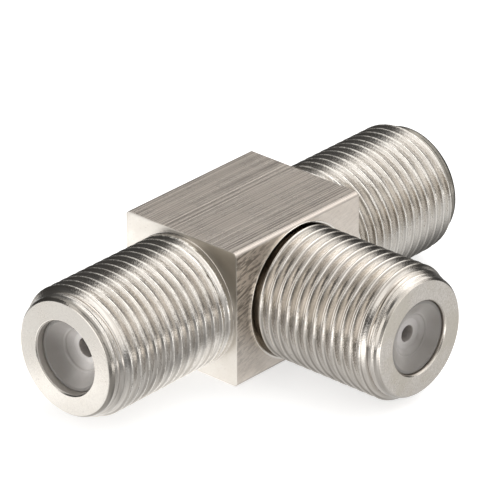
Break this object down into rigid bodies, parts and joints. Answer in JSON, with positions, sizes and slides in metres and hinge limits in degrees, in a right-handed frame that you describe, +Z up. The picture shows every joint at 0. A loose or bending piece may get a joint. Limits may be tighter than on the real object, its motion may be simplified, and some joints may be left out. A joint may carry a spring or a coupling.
{
  "type": "coaxial tee adapter",
  "caption": "Coaxial tee adapter: a square metal block with threaded socket ports on opposite ends and on one side, which joins coaxial cables.",
  "frame": {"origin": "centre of the block's flat underside, straight below the point where the three port axes cross", "axes": "+X along the in-line ports towards the right port, -Y out of the side port, +Z up away from the resting face"},
  "size_m": [0.035, 0.0207, 0.01],
  "materials": {
    "body_plating": "nickel plating on drawn and turned brass bar, with fine drawing lines on the block",
    "barrel_plating": "nickel plating on turned brass, glossy thread flanks",
    "insulator_plastic": "natural polyethylene, milky and slightly glossy",
    "contact_plating": "tin plating on bronze, dull"
  },
  "bodies": {
    "root": {"body": "body_plating", "branch_barrel": "barrel_plating", "left_insulator": "insulator_plastic", "right_insulator": "insulator_plastic", "branch_insulator": "insulator_plastic", "through_contact": "contact_plating", "branch_contact": "contact_plating"}
  },
  "joints": []
}
